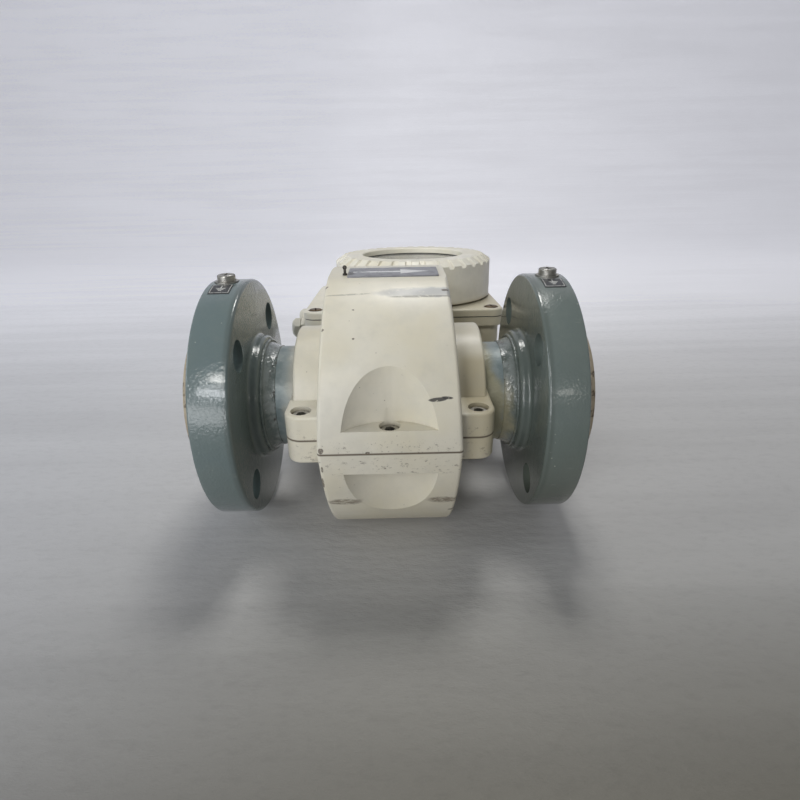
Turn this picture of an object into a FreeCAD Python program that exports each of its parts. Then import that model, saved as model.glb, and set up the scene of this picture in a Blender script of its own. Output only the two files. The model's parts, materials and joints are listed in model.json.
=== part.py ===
"""Flanged electromagnetic flow meter with an integral converter, lying on its back.

Frame, in millimetres: the origin is on the pipe axis at the middle of the
measuring tube, +X is the direction of flow, +Y runs from the pipe to the
converter, and +Z is the way the display window looks.
"""
import FreeCAD, Part
import math
import os

V = FreeCAD.Vector
X, Y, Z = V(1, 0, 0), V(0, 1, 0), V(0, 0, 1)
AXES = {"X": X, "Y": Y, "Z": Z}

# Pipe and flanges: 2 inch, class 150 drilling
FLANGE_R = 76.2            # outer radius of the flange
FLANGE_FACE_X = 108.4      # outer face of the rim, from the middle
FLANGE_THICK = 23.0
RAISED_R = 46.0            # raised sealing face
RAISED_X = 116.5
BOLT_PCD = 120.65
BOLT_HOLE_R = 9.525
HUB_R = 40.0               # welding hub behind the flange
HUB_X = 79.0
WELD_X = 70.5              # where the weld runs out on the tube
TUBE_R = 32.5
TUBE_BORE_R = 28.0
LINER_BORE_R = 25.0
LINER_FACE_X = 121.5       # outer face of the flared lining
SLIP = 0.12                # gap left between fixed round parts
EARTH_X = 98.4             # earthing screw on top of each flange
EARTH_SEAT_Z = FLANGE_R - 0.4

# Coil drum: a cast clamshell, split at Z = 0
DRUM_R = 82.8
DRUM_HALF = 39.4           # half width at the split
DRAFT = math.radians(3.2)  # casting draft of the drum's sides
WALL = 5.0
PAD_Z = 80.1               # flat on top for the arrow plate
COLLAR_R = 45.5
COLLAR_X = 57.3
COLLAR_BORE_R = 33.3
EAR_X = 59.5
EAR_Y = 66.5
EAR_Z = 14.5
EAR_ROUND = 9.5
EAR_BOLT = (50.3, 57.0)
POCKET_R = 33.5            # bolt pocket in the drum's front
POCKET_Y = -103.0
POCKET_Z = 13.0
POCKET_TOP = 62.0
FRONT_BOLT_Y = -75.0
SPLIT_GAP = 0.6            # thickness of the joint sheet between the halves

# Neck between the drum and the converter
BOSS_R = 34.0
BOSS_Y = 80.2
NECK_R = 19.6
NECK_BORE_R = 9.0
NECK_SCREW_R = 14.4
NECK_END = 84.6            # where the neck meets its gasket

# Converter: square housing with a round screw cover at each end, leaning back a little;
# its sizes are given before it is leant about the end of the neck
HEAD_TILT = 3.0            # degrees
CASE_Y = 86.5              # wall that bolts to the neck
PLATE = (-68.0, 90.5, 80.0, 222.5)     # outline of the front plate: x, x, y, y
BODY = (-66.0, 88.5, CASE_Y, 220.0)    # outline of the housing below its rim
BODY_REAR = (-64.5, 88.0, CASE_Y, 218.0)
CORNER_R = 9.0
FAR_ROUND = 15.0           # the corners away from the neck are rounder by this much
SEAM_Z = 27.2              # joint between the housing and the front plate
PLATE_Z = 33.6             # top of the front plate
RIM_Z = 20.5
REAR_Z = -48.0             # rear wall of the housing
CASE_WALL = 5.0
PLATE_SCREW_R = 2.3
AXIS = (21.2, 152.5)       # axis of both screw covers
COVER_R = 67.5
COVER_FACE_Z = 69.5
COVER_EDGE_Z = 65.1        # lower end of the ribbed bevel
BEVEL = COVER_FACE_Z - COVER_EDGE_Z
COVER_FACE_R = 60.7
WINDOW_R = 43.7
THREAD_R = 61.0            # threaded spigots, shown at their mean radius
THREAD_GAP = 0.08
# the leant rear cover stands on the same floor as the drum
LEAN = math.radians(HEAD_TILT)
REST_Z = -(DRUM_R - (AXIS[1] + COVER_FACE_R - NECK_END) * math.sin(LEAN)) / math.cos(LEAN)
RIBS = 36
SCREW_SPOTS = [(PLATE[0] + 9.0, PLATE[2] + 10.0), (PLATE[0] + 13.0, PLATE[3] - 13.0),
               (PLATE[1] - 9.0, PLATE[2] + 10.0), (PLATE[1] - 13.0, PLATE[3] - 13.0)]

# Cable glands on the left wall
GLAND_SEAT_X = -68.7
GLANDS = ((98.5, 17.5, 30.0), (136.5, 17.0, 0.0))  # y, z, turn of the hexagon
GLAND_FLATS = 14.5
GLAND_THREAD_R = 5.7
GLAND_HEX = 3.6            # thickness of the body's hexagon
GLAND_LENGTH = 10.8        # from the seat to the end of the nut


def cylinder(radius, start, end, axis="Z", centre=(0.0, 0.0)):
    """Round bar along an axis; centre is given in the two other axes, in X, Y, Z order."""
    low, length = min(start, end), abs(end - start)
    base = {"X": V(low, *centre), "Y": V(centre[0], low, centre[1]), "Z": V(*centre, low)}[axis]
    return Part.makeCylinder(radius, length, base, AXES[axis])


def tube(outer, inner, start, end, axis="Z", centre=(0.0, 0.0)):
    """Round sleeve or washer."""
    low, high = min(start, end), max(start, end)
    hole = cylinder(inner, low - 1, high + 1, axis, centre)
    return cylinder(outer, low, high, axis, centre).cut(hole)


def box(x0, x1, y0, y1, z0, z1):
    """Block between two corners."""
    return Part.makeBox(x1 - x0, y1 - y0, z1 - z0, V(x0, y0, z0))


def turned(profile, axis="Z", centre=(0.0, 0.0)):
    """Solid of revolution from (along the axis, radius) points."""
    place = {
        "X": lambda along, radius: V(along, centre[0] + radius, centre[1]),
        "Y": lambda along, radius: V(centre[0] + radius, along, centre[1]),
        "Z": lambda along, radius: V(centre[0] + radius, centre[1], along),
    }[axis]
    points = [place(*point) for point in profile]
    face = Part.Face(Part.makePolygon(points + points[:1]))
    return face.revolve(place(0, 0), AXES[axis], 360)


def arc_points(centre, radius, start, end, steps=6):
    """Points of an arc in a profile, for angles in degrees from the axis of turning."""
    angles = [math.radians(start + (end - start) * step / steps) for step in range(steps + 1)]
    return [(centre[0] + radius * math.cos(a), centre[1] + radius * math.sin(a)) for a in angles]


def rounded_wire(outline, radius, z, more=0.0):
    """Rounded rectangle in a plane of constant Z; its corners at high Y are rounder by more."""
    x0, x1, y0, y1 = outline
    far = radius + more
    corners = [(x1 - far, y1 - far, far, 0), (x0 + far, y1 - far, far, 90),
               (x0 + radius, y0 + radius, radius, 180), (x1 - radius, y0 + radius, radius, 270)]
    arcs = [Part.makeCircle(r, V(cx, cy, z), Z, start, start + 90) for cx, cy, r, start in corners]
    edges = []
    for arc, following in zip(arcs, arcs[1:] + arcs[:1]):
        end, start = arc.Vertexes[-1].Point, following.Vertexes[0].Point
        edges += [arc, Part.makeLine(end, start)]
    return Part.Wire(edges)


def rounded_slab(outline, radius, z0, z1, more=0.0):
    """Plate with rounded corners."""
    return Part.Face(rounded_wire(outline, radius, z0, more)).extrude(V(0, 0, z1 - z0))


def inset(outline, amount):
    """Outline moved inwards by an amount."""
    x0, x1, y0, y1 = outline
    return (x0 + amount, x1 - amount, y0 + amount, y1 - amount)


def hexagon(flats, start, end, axis="Z", centre=(0.0, 0.0), turn=0.0):
    """Hexagonal bar of a given width across flats."""
    radius = flats / 2 / math.cos(math.pi / 6)
    low, high = min(start, end), max(start, end)
    place = {"X": lambda a, b: V(low, centre[0] + a, centre[1] + b),
             "Y": lambda a, b: V(centre[0] + a, low, centre[1] + b),
             "Z": lambda a, b: V(centre[0] + a, centre[1] + b, low)}[axis]
    angles = [math.radians(turn + 60 * step) for step in range(6)]
    points = [place(radius * math.cos(a), radius * math.sin(a)) for a in angles]
    return Part.Face(Part.makePolygon(points + points[:1])).extrude(AXES[axis] * (high - low))


def joined(shapes):
    """One solid from overlapping shapes."""
    shapes = list(shapes)
    return shapes[0].multiFuse(shapes[1:]).removeSplitter() if len(shapes) > 1 else shapes[0]


def group(shapes):
    """Separate solids kept together in one node."""
    return Part.makeCompound(list(shapes))


def mirrored_x(shape):
    """Copy on the other side of the middle plane of the pipe run."""
    return shape.mirror(V(0, 0, 0), X)


def rounded(shape, radius, chosen):
    """Fillet the edges for which chosen(edge) holds."""
    return shape.makeFillet(radius, [edge for edge in shape.Edges if chosen(edge)])


def leant(shape):
    """Shape of the converter, leant back about the end of the neck."""
    return shape.rotated(V(0, NECK_END, 0), X, -HEAD_TILT)


def at_height(z, tolerance=0.01):
    """Edge test: the whole edge lies at one height."""
    return lambda edge: abs(edge.BoundBox.ZMin - z) < tolerance and abs(edge.BoundBox.ZMax - z) < tolerance


# --------------------------------------------------------------------------- pipe run
def measuring_tube():
    """Stainless tube with a hole for each electrode."""
    body = tube(TUBE_R, TUBE_BORE_R, -RAISED_X, RAISED_X, "X")
    return body.cut(cylinder(7.0, -50, 50, "Z"))


def liner():
    """Moulded lining of the tube, open at the electrodes."""
    outer = TUBE_BORE_R - SLIP
    end = LINER_FACE_X
    mouth = [(end, LINER_BORE_R + 1.6), (end - 1.0, LINER_BORE_R + 0.6), (end - 3.5, LINER_BORE_R)]
    profile = [(-end, outer), (end, outer)] + mouth + [(-x, radius) for x, radius in reversed(mouth)]
    seats = cylinder(4.7, -LINER_BORE_R - 1.6, LINER_BORE_R + 1.6, "Z")
    return turned(profile, "X").cut(cylinder(3.15, -50, 50, "Z")).cut(seats)


def liner_flare():
    """Lining formed over the raised face of the outlet flange."""
    start, rim = RAISED_X + SLIP, RAISED_R + 0.4
    profile = [(start, TUBE_BORE_R), (start, rim)] + arc_points((LINER_FACE_X - 1.2, rim - 1.2), 1.2, 90, 0)
    return turned(profile + [(LINER_FACE_X, TUBE_BORE_R)], "X")


def flange():
    """Outlet flange with its hub, weld, bolt holes and tapped earth hole."""
    back = FLANGE_FACE_X - FLANGE_THICK
    bore = TUBE_R + SLIP
    steps = 12
    toe_r, weld_r = bore + 0.4, HUB_R - 3.6
    weld = []
    for step in range(steps + 1):
        part = step / steps
        along = HUB_X - 0.6 - (HUB_X - 0.6 - WELD_X) * part
        weld.append((along, toe_r + (weld_r - toe_r) * (1 - part) ** 1.7))
    profile = [(WELD_X - 0.3, bore), (RAISED_X, bore), (RAISED_X, RAISED_R), (FLANGE_FACE_X, RAISED_R)]
    profile += arc_points((FLANGE_FACE_X - 1.2, FLANGE_R - 1.2), 1.2, 0, 90, 4)
    profile += arc_points((back + 1.8, FLANGE_R - 1.8), 1.8, 90, 180)
    profile += arc_points((back - 2.2, HUB_R + 2.2), 2.2, 0, -90)
    profile += arc_points((HUB_X + 2.4, HUB_R - 2.4), 2.4, 90, 180) + weld
    body = turned(profile, "X")
    for quarter in range(4):
        angle = math.radians(45 + 90 * quarter)
        spot = (BOLT_PCD / 2 * math.cos(angle), BOLT_PCD / 2 * math.sin(angle))
        body = body.cut(cylinder(BOLT_HOLE_R, back - 1, FLANGE_FACE_X + 1, "X", spot))
    seat = cylinder(7.4, EARTH_SEAT_Z, FLANGE_R + 2, "Z", (EARTH_X, 0))
    tapping = cylinder(2.6, EARTH_SEAT_Z - 14, FLANGE_R, "Z", (EARTH_X, 0))
    return body.cut(seat).cut(tapping)


def earth_fittings(side):
    """Earthing screw and its washers on top of a flange rim."""
    spot = (side * EARTH_X, 0)
    flat = tube(6.9, 3.2, EARTH_SEAT_Z, EARTH_SEAT_Z + 1.1, "Z", spot)
    spring_top = EARTH_SEAT_Z + 2.4
    spring = tube(5.3, 3.2, EARTH_SEAT_Z + 1.15, spring_top, "Z", spot)
    spring = spring.cut(box(spot[0] + 3, spot[0] + 6, -0.5, 0.5, EARTH_SEAT_Z, spring_top + 1))
    top = spring_top + 2.5
    head = rounded(cylinder(5.4, spring_top + 0.05, top, "Z", spot), 0.9, at_height(top))
    slot = box(spot[0] - 6, spot[0] + 6, -0.7, 0.7, top - 1.4, top + 1)
    cross = box(spot[0] - 0.7, spot[0] + 0.7, -3.4, 3.4, top - 1.4, top + 1)
    shank = cylinder(2.5, EARTH_SEAT_Z - 11, spring_top + 0.1, "Z", spot)
    return head.cut(slot).cut(cross).fuse(shank), flat, spring


def earth_label(side):
    """Thin label wrapped round the rim in front of the earthing screw."""
    ring = tube(FLANGE_R + 0.35, FLANGE_R + 0.05, EARTH_X - 6.2, EARTH_X + 6.2, "X")
    front = box(EARTH_X - 9, EARTH_X + 9, -20.5, -8.0, 40, 100)
    label = ring.common(front)
    return label if side > 0 else mirrored_x(label)


# --------------------------------------------------------------------------- coil system
def magnet_parts():
    """Cores, pole shoes, bobbins and windings on the Y axis, and the ring that joins them."""
    shoe_in, shoe_out = TUBE_R + 0.4, TUBE_R + 3.6
    sector = Part.makePolygon([V(0, 0, 0), V(0, 60, -48), V(0, 60, 48), V(0, 0, 0)])
    wedge = Part.Face(sector).extrude(V(44, 0, 0)).translated(V(-22, 0, 0))
    shoe = tube(shoe_out, shoe_in, -22, 22, "X").common(wedge)
    yoke_in, yoke_out = 60.4, 63.4
    core = cylinder(8.5, shoe_out - 0.4, yoke_in + 0.6, "Y")
    core = core.cut(cylinder(shoe_out + 0.05, -30, 30, "X"))
    core = core.common(cylinder(yoke_in - 0.05, -30, 30, "X"))
    bobbin = turned([(37.2, 8.6), (55.6, 8.6), (55.6, 22), (54.1, 22), (54.1, 9.8), (38.7, 9.8), (38.7, 22),
                     (37.2, 22)], "Y")
    winding = tube(21.0, 9.9, 38.8, 54.0, "Y")
    both = {name: group([shape, shape.rotated(V(0, 0, 0), X, 180)])
            for name, shape in (("pole_shoes", shoe), ("coil_cores", core), ("coil_bobbins", bobbin),
                                ("field_coils", winding))}
    both["return_yoke"] = tube(yoke_out, yoke_in, -18, 18, "X").cut(cylinder(13, -70, 70, "Z"))
    return both


def electrode_parts():
    """Electrode pins on the Z axis with their insulating sleeves and nuts."""
    tip = LINER_BORE_R + 0.1
    pin = turned([(tip, 0), (tip + 0.2, 3.6), (tip + 0.6, 4.5), (tip + 1.4, 4.5), (tip + 1.4, 3.0), (46, 3.0),
                  (46, 0)], "Z")
    sleeve = turned([(TUBE_BORE_R + 0.2, 3.1), (TUBE_BORE_R + 0.2, 6.8), (TUBE_R + 0.4, 6.8), (TUBE_R + 0.4, 9.0),
                     (TUBE_R + 2.6, 9.0), (TUBE_R + 2.6, 5.5), (TUBE_R + 6.0, 5.5), (TUBE_R + 6.0, 3.1)], "Z")
    nut = hexagon(10, TUBE_R + 6.1, TUBE_R + 10.5).cut(cylinder(3.05, 0, 60, "Z"))
    return {name: group([shape, shape.rotated(V(0, 0, 0), X, 180)])
            for name, shape in (("electrodes", pin), ("electrode_sleeves", sleeve), ("electrode_nuts", nut))}


# --------------------------------------------------------------------------- drum
def drum_form(shrink, top):
    """Drum with drafted sides, moved inwards by a wall thickness."""
    half = DRUM_HALF - shrink
    reach = DRUM_R + 2
    narrow = half - reach * math.tan(DRAFT)
    points = [V(half, -reach, 0), V(narrow, -reach, reach), V(-narrow, -reach, reach),
              V(-half, -reach, 0), V(-narrow, -reach, -reach), V(narrow, -reach, -reach)]
    wedge = Part.Face(Part.makePolygon(points + points[:1])).extrude(V(0, 2 * reach, 0))
    form = cylinder(DRUM_R - shrink, -half - 1, half + 1, "X").common(wedge)
    return form.common(box(-60, 60, -100, 100, -100, top))


def drum_edge(edge):
    """Edge test: the rims of the drum, but not its ridge at the split or its pad."""
    bounds = edge.BoundBox
    one_side = bounds.XMin > 20 or bounds.XMax < -20
    return one_side and bounds.ZMax - bounds.ZMin > 1.0


def drum_casting():
    """Both halves of the clamshell in one, before they are split."""
    outer = rounded(drum_form(0.0, PAD_Z), 2.4, drum_edge)
    collars = cylinder(COLLAR_R, -COLLAR_X, COLLAR_X, "X")
    collars = rounded(collars, 1.8, lambda edge: edge.BoundBox.XLength < 0.01)
    ears = rounded_slab((-EAR_X, EAR_X, -EAR_Y, EAR_Y), EAR_ROUND, -EAR_Z, EAR_Z)
    ears = rounded(ears, 1.5, lambda edge: at_height(EAR_Z)(edge) or at_height(-EAR_Z)(edge))
    boss = cylinder(BOSS_R, 70, BOSS_Y, "Y")
    solid = joined([outer, collars, ears, boss])

    hollow = drum_form(WALL, PAD_Z - WALL)
    for sign in (1, -1):
        wall = cylinder(POCKET_R + 4, 0, sign * (POCKET_TOP + 4), "Z", (0, POCKET_Y))
        hollow = hollow.cut(wall)
    hollow = hollow.cut(tube(BOSS_R, NECK_R, 70, BOSS_Y, "Y"))
    hollow = hollow.cut(cylinder(9.5, -POCKET_Z, POCKET_Z, "Z", (0, FRONT_BOLT_Y + 1.5)))
    solid = solid.cut(hollow)

    for sign in (1, -1):
        pocket = cylinder(POCKET_R, sign * POCKET_Z, sign * POCKET_TOP, "Z", (0, POCKET_Y))
        solid = solid.cut(pocket)
    solid = solid.cut(cylinder(COLLAR_BORE_R, -70, 70, "X"))
    for sign in (1, -1):
        solid = solid.cut(cylinder(COLLAR_BORE_R + 2.2, sign * 45, sign * 51, "X"))
    solid = solid.cut(cylinder(NECK_R + SLIP, 60, 90, "Y"))
    solid = solid.cut(cylinder(NECK_R + 5.0, 71, 77, "Y"))
    return solid


def shell_bolt_spots():
    """Places of the bolts that hold the clamshell together."""
    x, y = EAR_BOLT
    return [(0.0, FRONT_BOLT_Y)] + [(sx * x, sy * y) for sx in (1, -1) for sy in (1, -1)]


def drum_shells():
    """Upper and lower half, the sheet between them and their bolts."""
    casting = drum_casting()
    gap = SPLIT_GAP / 2
    upper = casting.common(box(-80, 80, -100, 100, gap, 100))
    lower = casting.common(box(-80, 80, -100, 100, -100, -gap))
    sheet = casting.common(box(-80, 80, -100, 100, -gap + 0.02, gap - 0.02))
    bolts = []
    for x, y in shell_bolt_spots():
        ledge = POCKET_Z if x == 0 else EAR_Z
        seat = ledge - 8.0
        head = rounded(cylinder(5.0, seat, seat + 6.0, "Z", (x, y)), 0.5, at_height(seat + 6.0))
        head = head.cut(hexagon(5, seat + 2.8, seat + 7, "Z", (x, y), 15))
        bolts.append(head.fuse(cylinder(2.95, -9.0, seat + 0.1, "Z", (x, y))))
        upper = upper.cut(cylinder(5.9, seat, ledge + 8, "Z", (x, y))).cut(cylinder(3.3, -1, seat + 1, "Z", (x, y)))
        sheet = sheet.cut(cylinder(3.3, -1, 1, "Z", (x, y)))
        lower = lower.cut(cylinder(3.0, -10.5, 1, "Z", (x, y)))
    return {"upper_shell": upper, "lower_shell": lower, "split_sheet": sheet, "shell_bolts": group(bolts)}


def tube_seals():
    """Rubber rings between the collars and the tube."""
    ring = tube(COLLAR_BORE_R + 2.1, TUBE_R + 0.05, 45.1, 50.9, "X")
    return group([ring, mirrored_x(ring)])


def arrow_plate():
    """Flow-direction plate on the drum's flat."""
    outline = (-23.5, 30.5, -15.0, 10.5)
    plate = rounded_slab(outline, 1.0, PAD_Z + 0.02, PAD_Z + 0.8)
    return plate


def tag_stub():
    """Cut-off end of a tag wire beside the plate."""
    foot = (-25.3, -6.5)
    post = cylinder(0.8, PAD_Z + 0.02, PAD_Z + 4.0, "Z", foot)
    knot = Part.makeSphere(1.3, V(foot[0], foot[1], PAD_Z + 4.5))
    washer = cylinder(1.4, PAD_Z + 0.02, PAD_Z + 0.9, "Z", foot)
    return joined([post, knot, washer])


# --------------------------------------------------------------------------- neck
def neck_parts():
    """Flanged neck held in the drum, its gasket and the screws from inside the converter."""
    spare = NECK_END + 2
    neck = turned([(64, NECK_BORE_R), (64, 13), (71.2, 13), (71.2, NECK_R + 4.8), (76.8, NECK_R + 4.8),
                   (76.8, NECK_R), (spare, NECK_R), (spare, NECK_BORE_R)], "Y")
    neck = neck.cut(leant(box(-40, 40, NECK_END, spare + 5, -40, 40)))
    gasket = tube(NECK_R, NECK_BORE_R, NECK_END + 0.05, CASE_Y - 0.05, "Y")
    screws = []
    for quarter in range(4):
        angle = math.radians(45 + 90 * quarter)
        spot = (NECK_SCREW_R * math.cos(angle), NECK_SCREW_R * math.sin(angle))
        neck = neck.cut(leant(cylinder(2.5, 75, 90, "Y", spot)))
        gasket = gasket.cut(cylinder(2.8, 80, 90, "Y", spot))
        inside = CASE_Y + CASE_WALL + 0.05
        head = cylinder(4.2, inside, inside + 3.2, "Y", spot).cut(hexagon(4, inside + 1.4, inside + 4, "Y", spot))
        screws.append(head.fuse(cylinder(2.45, 76, inside + 0.1, "Y", spot)))
    return {"neck_flange": neck, "neck_gasket": leant(gasket), "neck_screws": leant(group(screws))}


# --------------------------------------------------------------------------- converter
def converter_housing():
    """Cast housing: drafted box with a rim in front and a threaded spigot at the back."""
    walls = Part.makeLoft([rounded_wire(BODY_REAR, CORNER_R, REAR_Z, FAR_ROUND),
                           rounded_wire(BODY, CORNER_R, RIM_Z, FAR_ROUND)], True, True)
    walls = rounded(walls, 3.0, at_height(REAR_Z))
    rim = rounded_slab(PLATE, CORNER_R, RIM_Z - 0.01, SEAM_Z, FAR_ROUND)
    spigot = cylinder(THREAD_R, REAR_Z - 20, REAR_Z + 1, "Z", AXIS)
    relief = tube(THREAD_R + 5, THREAD_R - 0.9, REAR_Z - 3.6, REAR_Z, "Z", AXIS)
    pads = [cylinder(9.0, GLAND_SEAT_X, -60, "X", (y, z)) for y, z, _ in GLANDS]
    pads = joined(pads).common(box(-80, 0, 60, 200, -20, SEAM_Z - 0.8))
    body = joined([walls, rim, spigot, pads]).cut(relief)

    room = rounded_slab(inset(BODY, CASE_WALL), CORNER_R - 3, REAR_Z + 4, SEAM_Z + 1, FAR_ROUND)
    for spot in SCREW_SPOTS:
        beside_gland = spot == SCREW_SPOTS[0]
        foot = SEAM_Z - 10 if beside_gland else REAR_Z
        room = room.cut(cylinder(6.5, foot, SEAM_Z + 2, "Z", spot))
    body = body.cut(room).cut(cylinder(THREAD_R - 4.5, REAR_Z - 21, REAR_Z + 5, "Z", AXIS))
    for spot in SCREW_SPOTS:
        body = body.cut(cylinder(PLATE_SCREW_R + 0.05, SEAM_Z - 7.5, SEAM_Z + 1, "Z", spot))
    body = body.cut(cylinder(NECK_BORE_R, CASE_Y - 1, CASE_Y + CASE_WALL + 2, "Y"))
    for quarter in range(4):
        angle = math.radians(45 + 90 * quarter)
        spot = (NECK_SCREW_R * math.cos(angle), NECK_SCREW_R * math.sin(angle))
        body = body.cut(cylinder(2.8, CASE_Y - 1, CASE_Y + CASE_WALL + 2, "Y", spot))
    for y, z, _ in GLANDS:
        body = body.cut(cylinder(GLAND_THREAD_R + 0.05, GLAND_SEAT_X - 1, -60.4, "X", (y, z)))
        body = body.cut(cylinder(4.3, -61, -48, "X", (y, z)))
    return body


def front_plate():
    """Front plate with the cup for the electronics and the threaded spigot for the cover."""
    low = SEAM_Z + 0.8
    slab = rounded_slab(PLATE, CORNER_R, low, PLATE_Z, FAR_ROUND)
    slab = rounded(slab, 1.6, at_height(PLATE_Z))
    spigot = cylinder(THREAD_R, PLATE_Z - 1, 56.6, "Z", AXIS)
    cup = cylinder(THREAD_R - 4.0, 0.0, low + 1, "Z", AXIS)
    relief = tube(THREAD_R + 5, THREAD_R - 0.9, PLATE_Z, PLATE_Z + 3.6, "Z", AXIS)
    body = joined([slab, spigot, cup]).cut(relief)
    body = body.cut(cylinder(THREAD_R - 6.5, 3.5, 60, "Z", AXIS))
    for x, y in SCREW_SPOTS:
        body = body.cut(cylinder(5.8, PLATE_Z - 2.6, PLATE_Z + 1, "Z", (x, y)))
        body = body.cut(cylinder(2.8, low - 1, PLATE_Z, "Z", (x, y)))
    return body


def plate_gasket():
    """Flat gasket between the housing and the front plate."""
    ring = rounded_slab(inset(PLATE, 0.7), CORNER_R - 0.7, SEAM_Z + 0.03, SEAM_Z + 0.77, FAR_ROUND)
    ring = ring.cut(rounded_slab(inset(PLATE, 9.5), CORNER_R - 4, SEAM_Z - 1, SEAM_Z + 2, FAR_ROUND))
    pads = [cylinder(6.5, SEAM_Z + 0.03, SEAM_Z + 0.77, "Z", spot) for spot in SCREW_SPOTS]
    ring = joined([ring] + pads)
    inside = rounded_slab(inset(PLATE, 0.7), CORNER_R - 0.7, SEAM_Z - 1, SEAM_Z + 2, FAR_ROUND)
    ring = ring.common(inside).cut(cylinder(THREAD_R - 2.0, SEAM_Z - 1, SEAM_Z + 2, "Z", AXIS))
    for spot in SCREW_SPOTS:
        ring = ring.cut(cylinder(2.8, SEAM_Z - 1, SEAM_Z + 2, "Z", spot))
    return ring


def plate_screws():
    """Corner screws of the front plate."""
    screws = []
    seat = PLATE_Z - 2.6
    for spot in SCREW_SPOTS:
        head = rounded(cylinder(4.9, seat + 0.03, seat + 3.4, "Z", spot), 1.0, at_height(seat + 3.4))
        slot = box(spot[0] - 4, spot[0] + 4, spot[1] - 0.6, spot[1] + 0.6, seat + 1.8, seat + 5)
        slot.rotate(V(spot[0], spot[1], 0), Z, 25 + 0.8 * spot[1])
        screws.append(head.cut(slot).fuse(cylinder(PLATE_SCREW_R, SEAM_Z - 6.5, seat + 0.1, "Z", spot)))
    return group(screws)


def ribbed(cover, face_z, edge_z):
    """Cut the grip grooves into a cover's bevel, leaving the ribs between them."""
    run = COVER_R - COVER_FACE_R
    rise = face_z - edge_z
    slope = math.degrees(math.atan2(abs(rise), run))
    length, depth = 15.0, 1.7
    low_width, top_width = 3.6, 5.6
    middle_r, middle_z = (COVER_R + COVER_FACE_R) / 2, (face_z + edge_z) / 2
    outline = [V(-length / 2, -low_width / 2, -depth), V(-length / 2, low_width / 2, -depth),
               V(-length / 2, top_width / 2 + 0.6, 1.5), V(-length / 2, -top_width / 2 - 0.6, 1.5)]
    groove = Part.Face(Part.makePolygon(outline + outline[:1])).extrude(V(length, 0, 0))
    if rise < 0:
        groove.rotate(V(0, 0, 0), X, 180)
    groove.rotate(V(0, 0, 0), Y, slope if rise > 0 else -slope)
    groove.translate(V(AXIS[0] + middle_r, AXIS[1], middle_z))
    grooves = [groove.rotated(V(AXIS[0], AXIS[1], 0), Z, 360 / RIBS * (step + 0.5)) for step in range(RIBS)]
    return cover.cut(group(grooves))


def front_cover():
    """Screw cover with the window opening."""
    low = PLATE_Z + 0.9
    bore = THREAD_R + THREAD_GAP
    profile = [(low, COVER_R - 0.8), (low + 0.8, COVER_R), (COVER_EDGE_Z, COVER_R), (COVER_FACE_Z, COVER_FACE_R),
               (COVER_FACE_Z, WINDOW_R + 0.8), (COVER_FACE_Z - 0.8, WINDOW_R), (COVER_EDGE_Z, WINDOW_R),
               (COVER_EDGE_Z, 52.0), (57.2, 52.0), (57.2, bore), (low + 3.2, bore), (low + 3.2, THREAD_R + 2.6),
               (low, THREAD_R + 2.6)]
    return ribbed(turned(profile, "Z", AXIS), COVER_FACE_Z, COVER_EDGE_Z)


def rear_cover():
    """Blind screw cover of the terminal side."""
    high = REAR_Z - 0.9
    bore = THREAD_R + THREAD_GAP
    edge = REST_Z + BEVEL
    profile = [(high, COVER_R - 0.8), (high - 0.8, COVER_R), (edge, COVER_R), (REST_Z, COVER_FACE_R),
               (REST_Z, 44.0), (REST_Z + 1.2, 42.8), (REST_Z + 1.2, 0), (REST_Z + 6.0, 0), (REST_Z + 6.0, 54.0),
               (REAR_Z - 21.0, 54.0), (REAR_Z - 21.0, bore), (high - 3.2, bore), (high - 3.2, THREAD_R + 2.6),
               (high, THREAD_R + 2.6)]
    return ribbed(turned(profile, "Z", AXIS), REST_Z, edge)


def cover_fittings():
    """Window glass with its gasket and retaining ring, and the two cover seals."""
    glass_top = COVER_EDGE_Z - 0.8
    glass = rounded(cylinder(51.4, glass_top - 4.0, glass_top, "Z", AXIS), 0.5, at_height(glass_top))
    retainer = tube(51.9, 45.5, glass_top - 7.0, glass_top - 4.05, "Z", AXIS)
    for quarter in range(4):
        notch = box(AXIS[0] + 44, AXIS[0] + 48.5, AXIS[1] - 2.5, AXIS[1] + 2.5, glass_top - 8, glass_top - 3)
        retainer = retainer.cut(notch.rotated(V(AXIS[0], AXIS[1], 0), Z, 45 + 90 * quarter))
    ring_r, section = THREAD_R + 1.35, 1.1
    return {"window_glass": glass,
            "glass_gasket": tube(51.4, WINDOW_R + 0.4, glass_top + 0.05, COVER_EDGE_Z - 0.05, "Z", AXIS),
            "glass_retainer": retainer,
            "front_seal": Part.makeTorus(ring_r, section, V(*AXIS, PLATE_Z + 2.0), Z),
            "rear_seal": Part.makeTorus(ring_r, section, V(*AXIS, REAR_Z - 2.0), Z)}


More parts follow.
